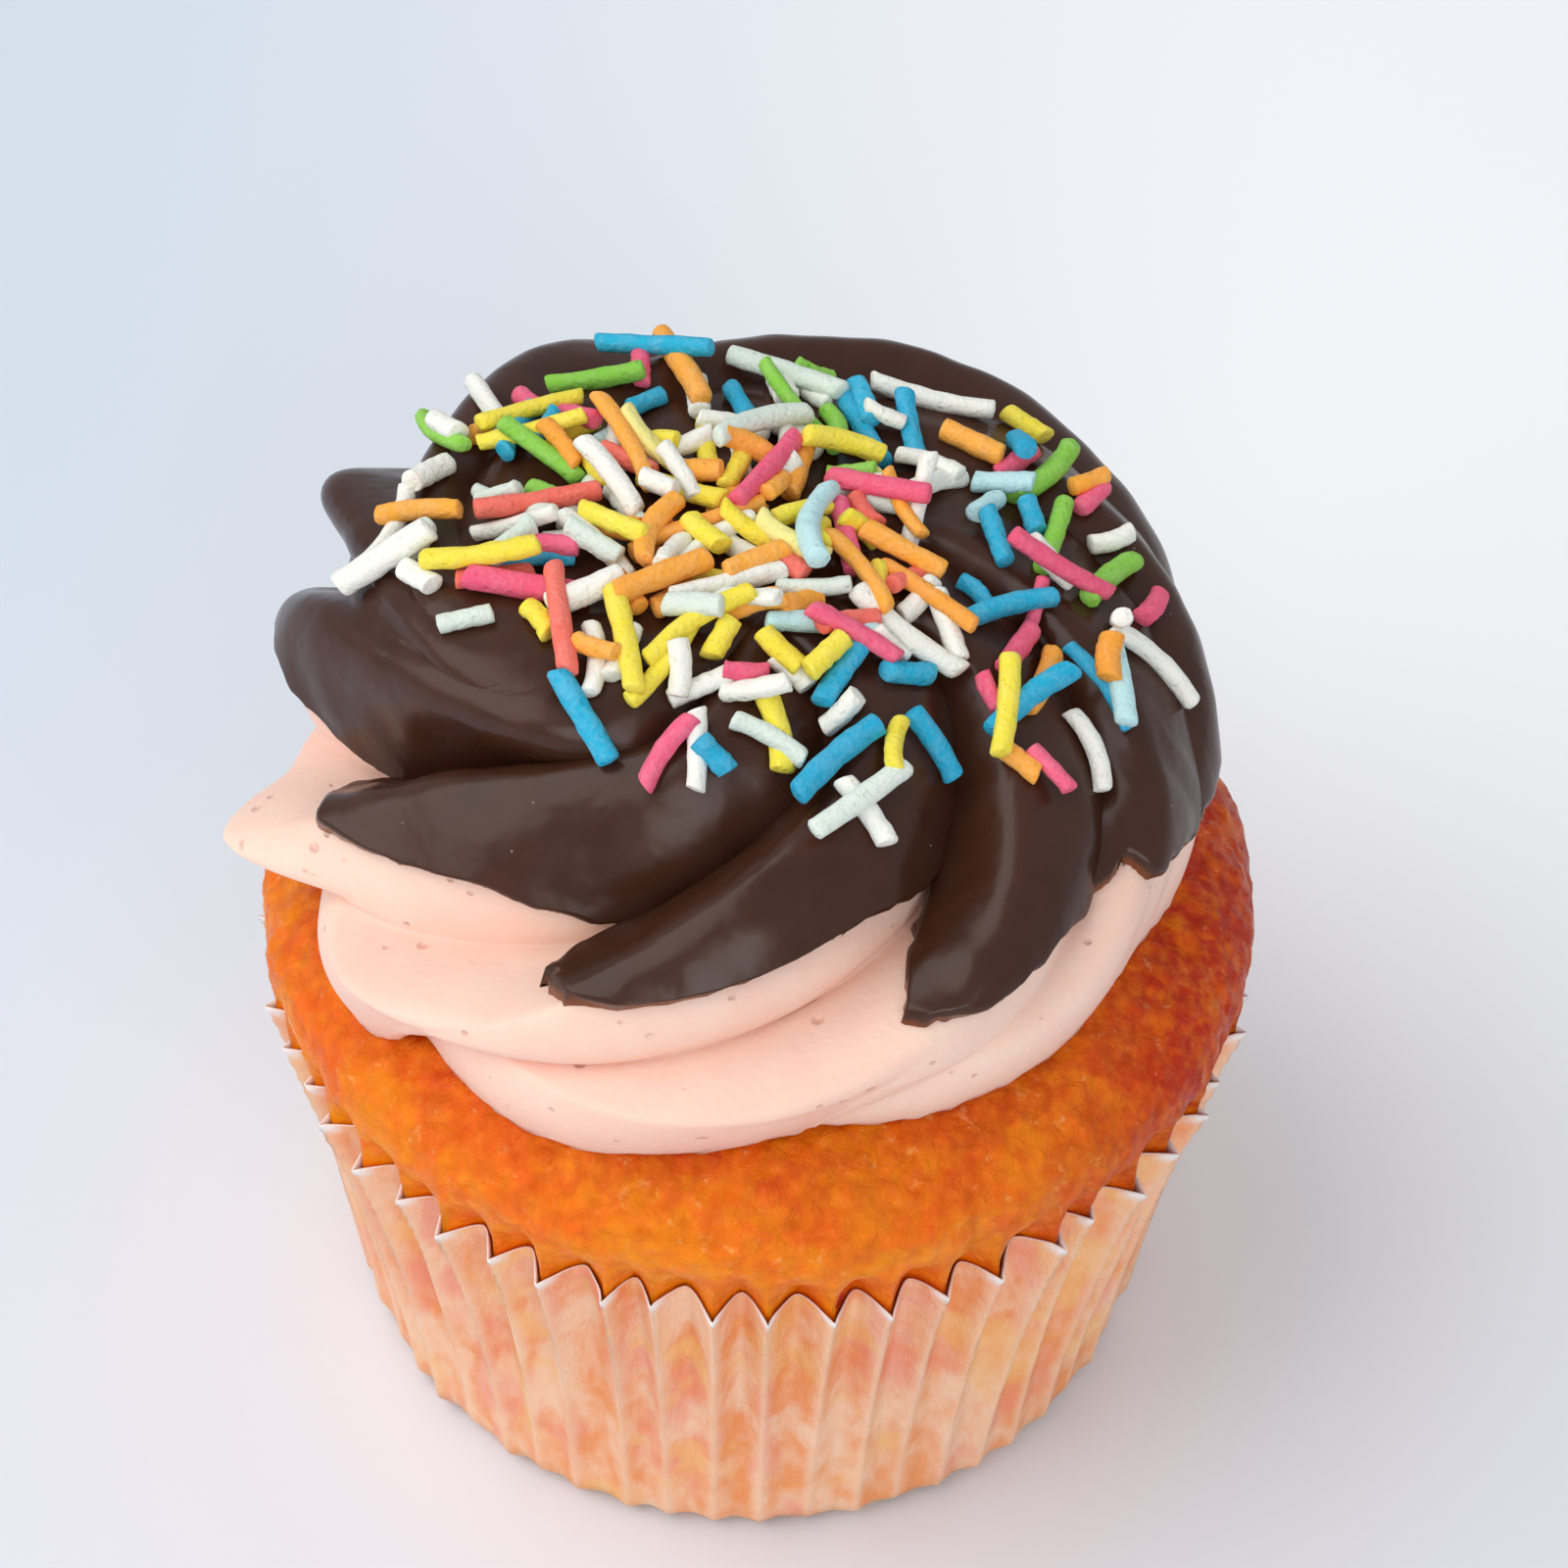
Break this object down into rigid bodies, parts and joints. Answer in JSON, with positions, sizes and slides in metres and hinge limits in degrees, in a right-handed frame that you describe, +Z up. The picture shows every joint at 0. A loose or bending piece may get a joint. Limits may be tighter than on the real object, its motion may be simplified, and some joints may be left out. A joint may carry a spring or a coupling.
{
  "type": "cupcake",
  "caption": "Orange cupcake in a pleated paper case, topped with a ridged pink buttercream swirl dipped in dark chocolate. For eating, stands on its flat foot.",
  "frame": {"origin": "centre of the paper case's round foot, at its underside, on the surface that it rests on", "axes": "+Z up, along the middle of the case and of the swirl; the shown front faces -Y, and +X is to the right of it"},
  "size_m": [0.0638, 0.0632, 0.0579],
  "materials": {
    "greaseproof_paper": "thin paper, made see-through by the cake's grease",
    "orange_sponge": "moist baked crumb",
    "pink_buttercream": "soft satin",
    "dark_chocolate": "satin, set chocolate with sugar sprinkles",
    "sugar_rods": "chalky sugar, in white, mint, blues, yellows, orange and pinks"
  },
  "bodies": {
    "root": {"paper_case": "greaseproof_paper", "sponge": "orange_sponge", "buttercream_swirl": "pink_buttercream", "chocolate_coat": "dark_chocolate"}
  },
  "joints": []
}
